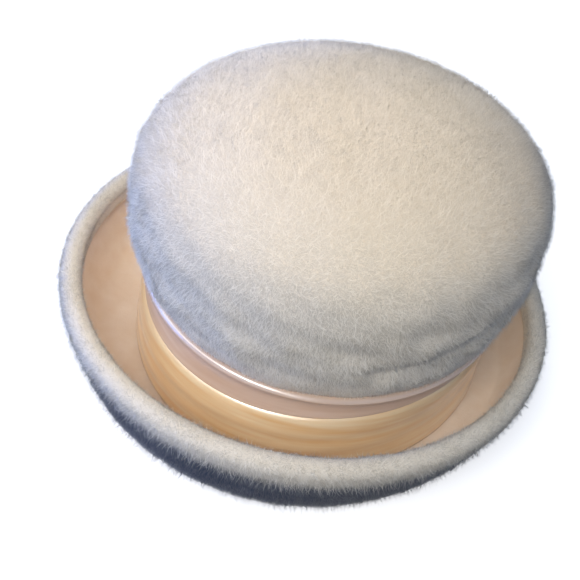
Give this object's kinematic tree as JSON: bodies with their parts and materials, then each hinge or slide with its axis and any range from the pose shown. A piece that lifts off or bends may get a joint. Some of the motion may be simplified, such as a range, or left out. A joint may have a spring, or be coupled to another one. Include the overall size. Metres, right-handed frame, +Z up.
{
  "type": "fur felt hat",
  "caption": "Bowler-shaped hat of long-napped cream fur felt: overhanging drum crown, draped satin band, upturned brim with a rolled edge and a smooth felt facing, open below for the head.",
  "frame": {"origin": "middle of the brim's oval on the surface that the hat stands on, at the underside of the brim", "axes": "+Z up through the crown, +Y along the head's length, +X across it"},
  "size_m": [0.2382, 0.268, 0.124],
  "materials": {
    "fur_felt": "warm white fur felt with a long soft nap, matt",
    "facing_felt": "smooth short felt, peach cream, matt",
    "satin": "draped ribbon satin, champagne gold, soft gloss along the folds"
  },
  "bodies": {
    "root": {"crown": "fur_felt", "brim": "fur_felt", "brim_facing": "facing_felt", "band_upper": "satin", "band_lower": "satin"}
  },
  "joints": []
}
